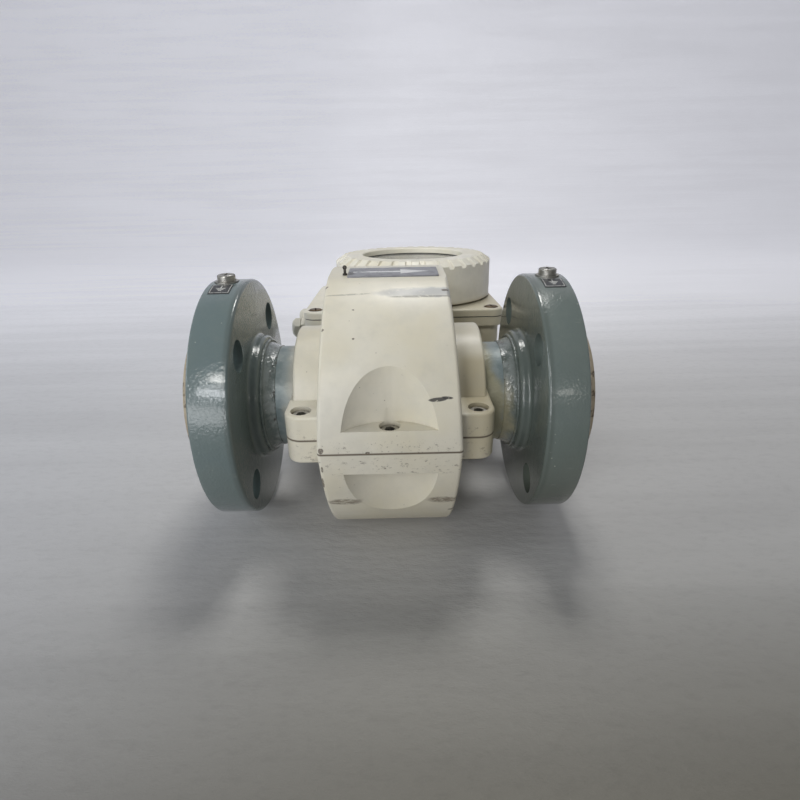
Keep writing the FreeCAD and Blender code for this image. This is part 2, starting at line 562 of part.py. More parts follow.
def electronics():
    """Display stack on the front and the boards and terminals behind it."""
    cx, cy = AXIS
    posts = [(cx + 40 * math.cos(math.radians(a)), cy + 40 * math.sin(math.radians(a))) for a in (45, 135, 225, 315)]

    def board(radius, z):
        """Round circuit board with a hole for each post."""
        plate = cylinder(radius, z, z + 1.6, "Z", AXIS)
        for spot in posts:
            plate = plate.cut(cylinder(2.7, z - 1, z + 3, "Z", spot))
        return plate

    pillars = [cylinder(2.5, 3.55, 50.0, "Z", spot) for spot in posts]
    bezel = cylinder(50, 50.1, 52.1, "Z", AXIS)
    bezel = bezel.cut(box(cx - 31, cx + 31, cy - 6, cy + 20, 49, 53))
    keys = [(cx + offset, cy - 24) for offset in (-22, 0, 22)]
    for spot in keys:
        bezel = bezel.cut(cylinder(4.3, 49, 53, "Z", spot))
    lcd = box(cx - 30.5, cx + 30.5, cy - 5.5, cy + 19.5, 45.6, 51.0)
    key_caps = [rounded(cylinder(4.0, 45.6, 53.2, "Z", spot), 0.6, at_height(53.2)) for spot in keys]
    transformer = box(cx - 16, cx + 16, cy - 14, cy + 14, 5.8, 21.0)
    capacitors = [cylinder(5.5, 5.8, 20.0, "Z", (cx + 27, cy + dy)) for dy in (-13, 0, 13)]
    block = box(cx - 42, cx + 42, cy - 12, cy + 12, -34, -18)
    feet = [cylinder(4, -18.05, -0.05, "Z", (cx + dx, cy)) for dx in (-34, 34)]
    block = joined([block] + feet)
    clamps = []
    for step in range(7):
        spot = (cx - 33 + 11 * step, cy + 5)
        block = block.cut(cylinder(3.3, -35, -26, "Z", spot)).cut(cylinder(2.6, cy - 13, cy - 6, "Y", (spot[0], -26)))
        head = cylinder(3.1, -32.5, -26.1, "Z", spot)
        clamps.append(head.cut(box(spot[0] - 4, spot[0] + 4, spot[1] - 0.5, spot[1] + 0.5, -34, -31.2)))
    return {"board_pillars": group(pillars), "power_board": board(50, 4.0), "main_board": board(52, 24.0),
            "display_board": board(48, 44.0), "display_bezel": bezel, "display_module": lcd,
            "display_keys": group(key_caps), "transformer": transformer, "capacitors": group(capacitors),
            "terminal_block": block, "terminal_screws": group(clamps)}


def gland(y, z, turn):
    """Cable gland: body screwed into the wall, sealing insert and nut."""
    centre = (y, z)
    shoulder = GLAND_SEAT_X - GLAND_HEX
    nut_start = shoulder - 0.4
    end = GLAND_SEAT_X - GLAND_LENGTH
    flange = hexagon(GLAND_FLATS, GLAND_SEAT_X - 0.05, shoulder, "X", centre, turn)
    body = joined([flange, cylinder(GLAND_THREAD_R, shoulder, -60.6, "X", centre),
                   cylinder(5.0, shoulder, end + 3.4, "X", centre)])
    body = body.cut(cylinder(3.9, end - 1, -58, "X", centre))
    nut = hexagon(GLAND_FLATS, nut_start, end, "X", centre, turn + 9)
    crown = turned([(nut_start, 0), (nut_start, 9.2), (end + 3.0, 8.4), (end + 0.8, 6.6), (end, 5.6), (end, 0)],
                   "X", centre)
    nut = nut.common(crown).cut(cylinder(5.06, nut_start + 1, end + 2.2, "X", centre))
    nut = nut.cut(cylinder(3.5, nut_start + 1, end - 1, "X", centre))
    insert = tube(3.84, 2.5, GLAND_SEAT_X - 1.2, end + 2.3, "X", centre)
    return body, insert, nut


def glands():
    """Both glands, with each piece in a node of its own."""
    nodes = {}
    for name, spec in zip(("front", "rear"), GLANDS):
        body, insert, nut = gland(*spec)
        nodes[f"{name}_gland_body"] = body
        nodes[f"{name}_gland_insert"] = insert
        nodes[f"{name}_gland_nut"] = nut
    return nodes


def build():
    """All nodes of the flow meter by name."""
    nodes = {"measuring_tube": measuring_tube(), "liner": liner()}
    flare = liner_flare()
    nodes["outlet_liner_flare"] = flare
    nodes["inlet_liner_flare"] = mirrored_x(flare)
    outlet = flange()
    nodes["outlet_flange"] = outlet
    nodes["inlet_flange"] = mirrored_x(outlet)
    for name, side in (("inlet", -1), ("outlet", 1)):
        screw, flat, spring = earth_fittings(side)
        nodes[f"{name}_earth_screw"] = screw
        nodes[f"{name}_earth_washers"] = group([flat, spring])
        nodes[f"{name}_earth_label"] = earth_label(side)
    nodes.update(magnet_parts())
    nodes.update(electrode_parts())
    nodes.update(drum_shells())
    nodes["tube_seals"] = tube_seals()
    nodes["arrow_plate"] = arrow_plate()
    nodes["tag_stub"] = tag_stub()
    nodes.update(neck_parts())
    head = {"converter_housing": converter_housing(), "plate_gasket": plate_gasket(), "front_plate": front_plate(),
            "plate_screws": plate_screws(), "front_cover": front_cover(), "rear_cover": rear_cover(),
            **cover_fittings(), **electronics(), **glands()}
    nodes.update({name: leant(shape) for name, shape in head.items()})
    return nodes


def main():
    """Write one STEP file for each node."""
    os.makedirs("parts", exist_ok=True)
    for name, shape in build().items():
        shape.exportStep(f"parts/{name}.step")
        print(f"{name:22s} solids {len(shape.Solids):2d}  valid {shape.isValid()}  volume {shape.Volume:10.0f}")


if __name__ == "__main__":
    main()
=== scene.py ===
"""Looks of a flanged electromagnetic flow meter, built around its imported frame."""

import json
import logging
import math
from dataclasses import dataclass, field
from enum import Enum
from typing import Any, Callable, Sequence

import bpy
from mathutils import Matrix, Vector

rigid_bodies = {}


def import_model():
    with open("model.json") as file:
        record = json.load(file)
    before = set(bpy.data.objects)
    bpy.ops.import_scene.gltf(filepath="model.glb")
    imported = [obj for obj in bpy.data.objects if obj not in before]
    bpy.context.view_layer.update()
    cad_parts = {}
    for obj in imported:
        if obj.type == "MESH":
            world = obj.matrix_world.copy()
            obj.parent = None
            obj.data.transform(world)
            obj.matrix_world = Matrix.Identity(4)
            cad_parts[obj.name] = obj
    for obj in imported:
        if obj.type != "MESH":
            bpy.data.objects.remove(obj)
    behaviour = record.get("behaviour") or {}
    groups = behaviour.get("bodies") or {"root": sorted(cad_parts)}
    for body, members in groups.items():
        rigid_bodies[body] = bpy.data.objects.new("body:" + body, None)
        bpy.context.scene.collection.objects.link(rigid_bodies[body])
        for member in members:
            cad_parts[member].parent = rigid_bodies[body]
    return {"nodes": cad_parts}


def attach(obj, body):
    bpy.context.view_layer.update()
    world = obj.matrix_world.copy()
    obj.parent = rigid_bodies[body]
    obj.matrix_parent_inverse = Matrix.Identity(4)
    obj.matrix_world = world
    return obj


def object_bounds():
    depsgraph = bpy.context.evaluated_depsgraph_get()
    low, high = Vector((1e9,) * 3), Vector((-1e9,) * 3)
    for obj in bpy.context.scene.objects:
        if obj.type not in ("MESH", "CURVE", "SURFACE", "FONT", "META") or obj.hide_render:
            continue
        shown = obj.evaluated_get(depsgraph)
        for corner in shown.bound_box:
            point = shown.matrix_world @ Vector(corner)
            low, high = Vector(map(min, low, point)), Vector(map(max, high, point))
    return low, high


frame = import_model()
CAD_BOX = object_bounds()
NODES: dict[str, bpy.types.Object] = frame["nodes"]
LOG = logging.getLogger("flow_meter")
MM = 0.001
PER_METRE = 1000.0
WELD_GAP = 2e-6
Triple = tuple[float, float, float]
Colour = Triple


def shade(colour: Colour, *factors: float) -> Colour:
    """Colour times one factor, or times a factor for each channel."""
    return tuple(channel * factor for channel, factor in zip(colour, factors * (3 // len(factors))))


# --------------------------------------------------------------------------- shader maths
class Value:
    """A socket that takes part in arithmetic; every operator adds one Math node."""

    def __init__(self, shader: "Shader", socket: bpy.types.NodeSocket) -> None:
        """Wrap an output socket of a shader's tree."""
        self.shader = shader
        self.socket = socket

    def math(self, operation: str, *terms: Any) -> "Value":
        """Add a Math node.

        Args:
            operation: Blender's name of the operation.
            terms: its inputs, in order.

        Returns:
            The node's result.
        """
        return self.shader.node("ShaderNodeMath", {"operation": operation}, dict(enumerate(terms))).out(0)

    def __add__(self, other: Any) -> "Value":
        """Sum."""
        return self.math("ADD", self, other)

    __radd__ = __add__

    def __sub__(self, other: Any) -> "Value":
        """Difference."""
        return self.math("SUBTRACT", self, other)

    def __rsub__(self, other: Any) -> "Value":
        """Difference from a number."""
        return self.math("SUBTRACT", other, self)

    def __mul__(self, other: Any) -> "Value":
        """Product."""
        return self.math("MULTIPLY", self, other)

    def __truediv__(self, other: Any) -> "Value":
        """Quotient."""
        return self.math("DIVIDE", self, other)

    def __pow__(self, other: Any) -> "Value":
        """Power."""
        return self.math("POWER", self, other)

    def __abs__(self) -> "Value":
        """Absolute value."""
        return self.math("ABSOLUTE", self)

    def root(self) -> "Value":
        """Square root."""
        return self.math("SQRT", self)

    def sine(self) -> "Value":
        """Sine of an angle in radians."""
        return self.math("SINE", self)

    def angle(self, other: Any) -> "Value":
        """Angle in radians of the point (other, self)."""
        return self.math("ARCTAN2", self, other)

    def most(self, other: Any) -> "Value":
        """Larger of two."""
        return self.math("MAXIMUM", self, other)

    def rise(self, low: float, high: float) -> "Value":
        """Smooth step from 0 at low to 1 at high; low may be the larger."""
        start, end = (0.0, 1.0) if low < high else (1.0, 0.0)
        values = {0: self, 1: min(low, high), 2: max(low, high), 3: start, 4: end}
        return self.shader.node("ShaderNodeMapRange", {"interpolation_type": "SMOOTHSTEP"}, values).out(0)

    def near(self, centre: float, half: float, soft: float) -> "Value":
        """1 within half of centre, falling to 0 over soft."""
        return abs(self - centre).rise(half + soft, half)


class NodeHandle:
    """A node whose outputs are read as values."""

    def __init__(self, shader: "Shader", node: bpy.types.Node) -> None:
        """Keep a node with its shader."""
        self.shader = shader
        self.node = node

    def out(self, name: str | int) -> Value:
        """Output socket by name or place."""
        return Value(self.shader, self.node.outputs[name])


class Shader:
    """One material and the tree behind it."""

    def __init__(self, name: str) -> None:
        """Start an empty material."""
        self.material = bpy.data.materials.new(name)
        self.material.use_nodes = True
        self.tree = self.material.node_tree
        self.tree.nodes.clear()
        self.place = self.node("ShaderNodeTexCoord").out("Object")
        parts = self.node("ShaderNodeSeparateXYZ", {}, {0: self.place})
        self.x, self.y, self.z = (parts.out(axis) * PER_METRE for axis in range(3))

    def node(self, kind: str, settings: dict[str, Any] | None = None,
             values: dict[str | int, Any] | None = None) -> NodeHandle:
        """Add a node.

        Args:
            kind: the node's type.
            settings: attributes set before its sockets; a "stops" entry fills a colour ramp.
            values: numbers, colours or values for its inputs.

        Returns:
            The node.
        """
        made = self.tree.nodes.new(kind)
        for name, setting in (settings or {}).items():
            if name == "stops":
                self._fill_ramp(made.color_ramp, setting)
            else:
                setattr(made, name, setting)
        for name, value in (values or {}).items():
            self._feed(made.inputs[name], value)
        return NodeHandle(self, made)

    def _feed(self, socket: bpy.types.NodeSocket, value: Any) -> None:
        """Link or set one input."""
        if isinstance(value, Value):
            self.tree.links.new(value.socket, socket)
        elif isinstance(value, tuple) and socket.type == "RGBA":
            socket.default_value = (*value[:3], 1.0)
        else:
            socket.default_value = value

    @staticmethod
    def _fill_ramp(ramp: bpy.types.ColorRamp, stops: Sequence[tuple[float, float]]) -> None:
        """Give a ramp its grey stops."""
        while len(ramp.elements) < len(stops):
            ramp.elements.new(0.5)
        for element, (position, level) in zip(ramp.elements, stops):
            element.position = position
            element.color = (level, level, level, 1.0)

    def noise(self, size_mm: float, detail: float = 3.0, rough: float = 0.55, stretch: Triple = (1, 1, 1),
              shift: Triple = (0, 0, 0), warp: float = 0.0) -> Value:
        """Noise from 0 to 1 with features of a given size."""
        mapped = self.node("ShaderNodeMapping", {},
                           {"Vector": self.place, "Scale": stretch, "Location": shift})
        return self.node("ShaderNodeTexNoise", {}, {
            "Vector": mapped.out(0), "Scale": PER_METRE / size_mm, "Detail": detail, "Roughness": rough,
            "Distortion": warp}).out(0)

    def cells(self, size_mm: float, spread: float = 1.0, stretch: Triple = (1, 1, 1)) -> Value:
        """Distance to the nearest of scattered points, 0 at a point."""
        mapped = self.node("ShaderNodeMapping", {}, {"Vector": self.place, "Scale": stretch})
        return self.node("ShaderNodeTexVoronoi", {}, {
            "Vector": mapped.out(0), "Scale": PER_METRE / size_mm, "Randomness": spread}).out("Distance")

    def mix(self, share: Any, first: Any, second: Any, blend: str = "MIX") -> Value:
        """Blend two colours."""
        return self.node("ShaderNodeMix", {"data_type": "RGBA", "blend_type": blend, "clamp_factor": True},
                         {0: share, 6: first, 7: second}).out(2)

    def bump(self, height: Value, depth_mm: float, normal: Value | None = None) -> Value:
        """Surface normal of a height field; depth is that of a full step."""
        values: dict[str | int, Any] = {"Strength": 1.0, "Distance": depth_mm * MM, "Height": height}
        if normal is not None:
            values["Normal"] = normal
        return self.node("ShaderNodeBump", {}, values).out(0)

    def crevice(self, reach_mm: float, inside: bool = False) -> Value:
        """1 in the open and 0 deep in a corner; or, inside, 0 along outer edges."""
        return self.node("ShaderNodeAmbientOcclusion", {"samples": 8, "inside": inside, "only_local": inside},
                         {"Distance": reach_mm * MM}).out("AO")

    def finish(self, **sockets: Any) -> bpy.types.Material:
        """Close the tree with a Principled shader and return the material."""
        names = {name.replace("_", " ").title().replace("Ior", "IOR"): value
                 for name, value in sockets.items()}
        shader = self.node("ShaderNodeBsdfPrincipled", {}, names)
        self.node("ShaderNodeOutputMaterial", {}, {"Surface": shader.out(0)})
        return self.material


# --------------------------------------------------------------------------- finishes
class Mark(Enum):
    """Kinds of damage on the enamel."""

    SCRATCH = "scratch"
    CHIP = "chip"
    SMUDGE = "smudge"
    SCUFF = "scuff"


@dataclass(frozen=True)
class Flaw:
    """One mark on the drum's front, placed by its X and its angle from the top towards the front."""

    kind: Mark
    x: float
    angle: float
    length: float
    width: float
    turn: float = 0.0
    strength: float = 1.0


DRUM_FLAWS = (
    Flaw(Mark.SCRATCH, 25.5, 69.6, 9.5, 2.1, -4.0),
    Flaw(Mark.SCRATCH, 30.5, 69.0, 6.0, 1.3, 6.0),
    Flaw(Mark.SCUFF, 17.0, 24.0, 42.0, 7.0, -2.0),
    Flaw(Mark.SCUFF, 27.0, 24.6, 24.0, 7.5),
    Flaw(Mark.SCRATCH, 19.0, 27.0, 34.0, 1.6, 0.0, 0.45),
    Flaw(Mark.SCRATCH, -22.0, 25.2, 24.0, 1.3, -3.0, 0.40),
    Flaw(Mark.SMUDGE, -27.0, 115.4, 17.0, 5.4),
    Flaw(Mark.SMUDGE, 30.0, 115.4, 17.0, 5.4, 2.0),
    Flaw(Mark.CHIP, -37.0, 88.4, 2.8, 3.2),
    Flaw(Mark.CHIP, -37.6, 103.5, 1.6, 7.5),
    Flaw(Mark.CHIP, -37.2, 96.5, 1.2, 3.0),
    Flaw(Mark.CHIP, -12.1, 89.5, 2.4, 1.2),
    Flaw(Mark.CHIP, 16.1, 89.7, 2.4, 1.2),
    Flaw(Mark.CHIP, -18.6, 33.6, 1.2, 1.0),
    Flaw(Mark.CHIP, -18.3, 46.4, 1.3, 1.0),
    Flaw(Mark.CHIP, -34.8, 42.4, 1.6, 1.6),
    Flaw(Mark.CHIP, 35.5, 124.4, 5.0, 1.6),
    Flaw(Mark.CHIP, -35.8, 19.7, 5.0, 1.8),
    Flaw(Mark.CHIP, 32.5, 23.4, 4.0, 1.6, 8.0),
)
DRUM_RADIUS = 82.8
# Cream overspray as it looks in painted shade on the outlet side: darker and more olive than the cream
# itself.
OVERSPRAY_IN_PAINTED_SHADE = (0.37, 0.34, 0.22)


@dataclass(frozen=True)
class CreamEnamel:
    """Warm cream enamel on the castings, dulled and dirty with use, with painted shade in its corners and
    towards the low outlet side.
    """

    name: str
    base: Colour = (0.710, 0.675, 0.575)
    flaws: tuple[Flaw, ...] = ()
    split_line: bool = False
    # Strength of the dirt and painted shade in corners.
    grime_and_shade: float = 0.55
    gloss: float = 0.42

    def make(self) -> bpy.types.Material:
        """Build the material."""
        s = Shader(self.name)
        patches = s.noise(46.0, 3.0)
        mottle = s.noise(9.0, 4.0, 0.6)
        colour = s.mix(patches.rise(0.35, 0.70), self.base, shade(self.base, 0.95, 0.93, 0.86))
        colour = s.mix(mottle.rise(0.52, 0.75) * 0.30, colour, shade(self.base, 0.86))
        # Painted shade: darker and warmer towards the low outlet side, and more so past 46 mm on the outlet
        # side below about 35 mm height, where less light falls.
        painted_shade_low_right = (s.x * 0.5 - s.z).rise(-20.0, 75.0) * 0.34
        painted_shade_low_right = painted_shade_low_right.most(s.x.rise(40.0, 46.0) * s.z.rise(38.0, 32.0) * 0.60)
        colour = s.mix(painted_shade_low_right, colour, shade(self.base, 0.60, 0.54, 0.38))
        haze = s.noise(17.0, 4.0, 0.65, shift=(9, 4, 0)).rise(0.42, 0.68)
        colour = s.mix(haze * 0.20, colour, (0.50, 0.49, 0.44))
        dust = s.noise(2.2, 2.0, 0.7).rise(0.66, 0.78) * s.noise(30.0).rise(0.5, 0.62)
        colour = s.mix(dust * 0.30, colour, (0.30, 0.26, 0.19))
        pits = s.cells(5.0).rise(0.085, 0.045) * s.noise(24.0, shift=(3, 1, 2)).rise(0.54, 0.60)
        colour = s.mix(pits * 0.55, colour, (0.16, 0.13, 0.10))
        # Dirt and painted shade: darker in corners and recesses, where shade falls.
        corner = 1.0 - s.crevice(7.0)
        dirt_and_shade = (corner * (0.55 + s.noise(6.0, 3.0) * 0.9)).rise(0.30, 0.95)
        colour = s.mix(dirt_and_shade * self.grime_and_shade, colour, (0.21, 0.165, 0.10))
        rub = s.crevice(1.6, inside=True).rise(0.62, 0.30)
        rub = rub * s.noise(5.5, 5.0, 0.7, shift=(7, 0, 0)).rise(0.57, 0.63)
        colour = s.mix(rub * 0.75, colour, (0.14, 0.12, 0.10))
        damage = rub * 0.5
        if self.flaws:
            colour, damage = self._marked(s, colour, damage)
        if self.split_line:
            colour = self._seam(s, colour)
        peel = s.noise(3.2, 2.0, 0.5) * 0.6 + s.noise(11.0, 2.0) * 0.7
        normal = s.bump(peel - damage * 1.4, 0.13)
        rough = self.gloss + (mottle - 0.5) * 0.22 + dirt_and_shade * 0.2 + damage * 0.25
        return s.finish(base_color=colour, roughness=rough, normal=normal, specular_ior_level=0.45)

    def _marked(self, s: Shader, colour: Value, damage: Value) -> tuple[Value, Value]:
        """Add the single marks.

        Args:
            s: the shader.
            colour: the enamel's colour so far.
            damage: depth of the damage so far.

        Returns:
            The new colour and damage.
        """
        tints = {Mark.SCRATCH: (0.045, 0.042, 0.040), Mark.CHIP: (0.11, 0.085, 0.065),
                 Mark.SMUDGE: (0.135, 0.100, 0.065), Mark.SCUFF: (0.40, 0.40, 0.39)}
        strength = {Mark.SCRATCH: 0.92, Mark.CHIP: 0.85, Mark.SMUDGE: 0.80, Mark.SCUFF: 0.80}
        arc = (s.y * -1.0).angle(s.z) * DRUM_RADIUS
        wander = (s.noise(4.0, 4.0, 0.65) - 0.5) * 3.2
        grain = {Mark.SCRATCH: s.noise(1.7, 3.0, 0.7, stretch=(0.5, 1, 1)).rise(0.34, 0.46),
                 Mark.CHIP: s.noise(2.4, 3.0, 0.7).rise(0.34, 0.46),
                 Mark.SMUDGE: s.noise(1.9, 4.0, 0.75, stretch=(0.35, 1, 1)).rise(0.30, 0.58),
                 Mark.SCUFF: s.noise(5.0, 6.0, 0.8, stretch=(0.4, 1, 1)).rise(0.30, 0.44)}
        for flaw in self.flaws:
            along, across = s.x - flaw.x, arc - math.radians(flaw.angle) * DRUM_RADIUS
            if flaw.turn:
                cos, sin = math.cos(math.radians(flaw.turn)), math.sin(math.radians(flaw.turn))
                along, across = along * cos + across * sin, across * cos - along * sin
            soft = 0.9 if flaw.kind in (Mark.SMUDGE, Mark.SCUFF) else 0.35
            if flaw.kind is not Mark.SCRATCH:
                across = across + wander * min(1.0, flaw.width / 3.0)
            reach = ((along / (flaw.length / 2)) ** 2.0 + (across / (flaw.width / 2)) ** 2.0)
            mask = reach.rise(1.0 + soft, 1.0 - soft * 0.6) * grain[flaw.kind] * s.y.rise(0.0, -1.0)
            colour = s.mix(mask * (strength[flaw.kind] * flaw.strength), colour, tints[flaw.kind])
            damage = damage + mask * (0.6 * flaw.strength if flaw.kind in (Mark.SCRATCH, Mark.CHIP) else 0.1)
        return colour, damage

    def _seam(self, s: Shader, colour: Value) -> Value:
        """Darken the edge along the split and speckle the band below it."""
        edge = abs(s.z).rise(0.95, 0.30)
        colour = s.mix(edge * 0.75, colour, (0.13, 0.10, 0.07))
        crumbs = s.noise(2.6, 4.0, 0.75, stretch=(0.6, 1, 1)).rise(0.55, 0.68) * s.z.near(-8.0, 3.0, 4.0)
        above = s.noise(1.8, 4.0, 0.75, shift=(4, 4, 4)).rise(0.57, 0.70) * s.z.near(3.6, 1.6, 3.6)
        crumbs = crumbs.most(above)
        return s.mix(crumbs * 0.75 * s.y.rise(-60.0, -70.0), colour, (0.13, 0.10, 0.08))


def overspray(s: Shader, reach: Value, shift: float, full: float, none: float) -> tuple[Value, Value]:
    """Cream overspray that creeps outwards on the low front of the outlet side.

    Args:
        s: the shader.
        reach: distance from the middle along X, in millimetres.
        shift: how much further the spray goes on the low front.
        full: reach at which the spray is whole.
        none: reach at which it ends.

    Returns:
        The share of spray, and the mask of the low front.
    """
    low_front = (s.y * -0.8 - s.z * 0.6).rise(2.0, 24.0) * s.x.rise(0.0, 10.0)
    wander = (s.noise(14.0, 4.0, 0.6) - 0.5) * 15.0
    return (reach + wander - low_front * shift).rise(none, full), low_front


@dataclass(frozen=True)
class FlangeEnamel:
    """Thick grey-green enamel with orange peel, over flange, hub and weld, with painted shade on the outlet
    side, on the flanges' inner faces and in corners.
    """

    name: str = "grey_green_enamel"
    base: Colour = (0.150, 0.190, 0.185)

    def make(self) -> bpy.types.Material:
        """Build the material."""
        s = Shader(self.name)
        reach = abs(s.x)
        radius = (s.y * s.y + s.z * s.z).root()
        tone = s.noise(60.0, 3.0)
        colour = s.mix(tone.rise(0.35, 0.7), self.base, (0.135, 0.180, 0.185))
        # Painted shade: towards the outlet side the enamel is painted duller and warmer, where less cool
        # light falls.
        colour = s.mix(s.x.rise(-60.0, 60.0) * 0.55, colour, (0.145, 0.165, 0.140))
        colour = s.mix(s.noise(14.0, 5.0, 0.65).rise(0.50, 0.72) * 0.18, colour, (0.20, 0.225, 0.205))
        # Painted shade: darker and more olive low on the outlet side.
        low = s.z.rise(10.0, -60.0) * s.x.rise(0.0, 60.0)
        colour = s.mix(low * 0.80, colour, (0.085, 0.092, 0.068))
        # Painted shade: darker on the flanges' inner faces, towards the drum.
        colour = s.mix(reach.rise(90.0, 87.5) * 0.40, colour, (0.070, 0.084, 0.074))
        streaks = s.noise(5.0, 4.0, 0.7, stretch=(0.25, 1, 1)).rise(0.60, 0.72)
        streaks = streaks * s.noise(30.0, 2.0).rise(0.50, 0.62)
        colour = s.mix(streaks * 0.14, colour, (0.36, 0.37, 0.33))
        mist = reach.rise(82.0, 71.0) * s.noise(12.0, 4.0, 0.65).rise(0.40, 0.60)
        colour = s.mix(mist * 0.60, colour, (0.34, 0.37, 0.37))
        spray, low_front = overspray(s, reach, 6.0, 66.0, 72.0)
        # Cream overspray in painted shade on the low front of the outlet side.
        colour = s.mix(spray * low_front * 0.85, colour, OVERSPRAY_IN_PAINTED_SHADE)
        # Dirt and painted shade: darker in corners, where shade falls.
        corner = 1.0 - s.crevice(8.0)
        dirt_and_shade = (corner * (0.6 + s.noise(7.0, 4.0) * 0.8)).rise(0.35, 1.0)
        colour = s.mix(dirt_and_shade * 0.72, colour, (0.050, 0.052, 0.038))
        edge = s.crevice(1.8, inside=True).rise(0.60, 0.30)
        chip = edge * s.noise(4.5, 5.0, 0.7, shift=(5, 2, 0)).rise(0.585, 0.635)
        colour = s.mix(chip * 0.85, colour, (0.055, 0.045, 0.035))
        facing = reach.rise(108.7, 109.2) * radius.rise(48.5, 47.5)
        colour = s.mix(facing * s.noise(5.0, 3.0).rise(0.35, 0.5) * 0.7, colour, (0.20, 0.185, 0.15))
        specks = s.cells(4.0).rise(0.10, 0.05) * s.noise(20.0, shift=(1, 5, 2)).rise(0.56, 0.62)
        colour = s.mix(specks * 0.6, colour, (0.62, 0.62, 0.56))
        weld = reach.rise(80.5, 78.0)
        ripples = s.noise(5.0, 3.0, 0.6, stretch=(1.6, 1, 1)) * weld * 5.0
        peel = s.noise(1.5, 2.0, 0.55) * 0.95 + s.noise(6.0, 2.0) * 0.9 + ripples - chip * 1.5
        normal = s.bump(peel, 0.20)
        rough = 0.12 + s.noise(6.0, 3.0) * 0.12 + dirt_and_shade * 0.35 + chip * 0.3
        return s.finish(base_color=colour, roughness=rough, normal=normal,
                        coat_weight=0.35, coat_roughness=0.08)


@dataclass(frozen=True)
class TubePaint:
    """Blue-grey paint on the short necks, oversprayed with cream beside the drum, with painted shade in
    corners and on the outlet side's overspray.
    """

    name: str = "blue_grey_paint"

    def make(self) -> bpy.types.Material:
        """Build the material."""
        s = Shader(self.name)
        reach = abs(s.x)
        colour = s.mix(s.noise(14.0, 4.0, 0.6).rise(0.35, 0.68), (0.165, 0.215, 0.225), (0.285, 0.325, 0.325))
        spray, _ = overspray(s, reach, 9.0, 60.0, 67.0)
        # Overspray colour: paler on the inlet side, and on the outlet side the olive of painted shade.
        cream = s.mix(s.x.rise(-10.0, 10.0), (0.47, 0.46, 0.40), OVERSPRAY_IN_PAINTED_SHADE)
        colour = s.mix(spray * 0.85, colour, cream)
        # Dirt and painted shade: darker in corners, where shade falls.
        dirt_and_shade = (1.0 - s.crevice(8.0)) * (0.5 + s.noise(6.0, 3.0))
        colour = s.mix(dirt_and_shade.rise(0.45, 1.1) * 0.6, colour, (0.07, 0.07, 0.055))
        speck = s.noise(1.6, 3.0, 0.7).rise(0.64, 0.72)
        colour = s.mix(speck * 0.35, colour, (0.60, 0.60, 0.54))
        lumps = s.noise(4.4, 4.0, 0.65) * (1.0 + spray * 2.4) + s.noise(9.0, 2.0) * 1.2
        return s.finish(base_color=colour, roughness=0.26 + s.noise(5.0, 3.0) * 0.22,
                        normal=s.bump(lumps, 0.24), metallic=0.10)


@dataclass(frozen=True)
class Lining:
    """Tan moulded lining with dark residue on its flares."""

    name: str = "tan_lining"

    def make(self) -> bpy.types.Material:
        """Build the material."""
        s = Shader(self.name)
        colour = s.mix(s.noise(9.0, 4.0, 0.65).rise(0.3, 0.7), (0.44, 0.375, 0.275), (0.33, 0.27, 0.19))
        crust = s.noise(7.0, 5.0, 0.72, shift=(0, 3, 1)).rise(0.53, 0.62)
        colour = s.mix(crust * 0.82, colour, (0.065, 0.042, 0.028))
        swirl = s.noise(1.4, 3.0, 0.6, stretch=(1, 0.4, 0.4))
        normal = s.bump(crust * 1.2 + swirl * 0.5, 0.18)
        return s.finish(base_color=colour, roughness=0.52 + crust * 0.25, normal=normal)


@dataclass(frozen=True)
class PlainMetal:
    """Turned or plated metal with fine tool marks and tarnish."""

    name: str
    base: Colour = (0.58, 0.565, 0.53)
    tarnish: Colour = (0.20, 0.16, 0.11)
    amount: float = 0.5
    rough: float = 0.30

    def make(self) -> bpy.types.Material:
        """Build the material."""
        s = Shader(self.name)
        spots = s.noise(2.6, 4.0, 0.7).rise(0.52, 0.68)
        corner = (1.0 - s.crevice(2.5)).rise(0.25, 0.85)
        stain = spots.most(corner) * self.amount
        colour = s.mix(stain, self.base, self.tarnish)
        lines = s.noise(0.5, 2.0, 0.5)
        return s.finish(base_color=colour, roughness=self.rough + stain * 0.4 + (lines - 0.5) * 0.1,
                        metallic=1.0 - stain * 0.6, normal=s.bump(lines, 0.02))


@dataclass(frozen=True)
class Moulding:
    """Plastic or rubber with a fine moulded grain."""

    name: str
    base: Colour
    rough: float = 0.5
    grain_mm: float = 0.8
    depth_mm: float = 0.03
    dust: float = 0.25
    dust_tint: Colour = (0.40, 0.37, 0.31)

    def make(self) -> bpy.types.Material:
        """Build the material."""
        s = Shader(self.name)
        colour = s.mix(s.noise(10.0, 4.0).rise(0.35, 0.7) * 0.5, self.base, shade(self.base, 0.80))
        film = s.noise(3.2, 4.0, 0.7).rise(0.52, 0.75) * self.dust
        film = film + (1.0 - s.crevice(3.0)) * 0.4 * self.dust
        colour = s.mix(film, colour, self.dust_tint)
        return s.finish(base_color=colour, roughness=self.rough + film * 0.4,
                        normal=s.bump(s.noise(self.grain_mm, 2.0), self.depth_mm))


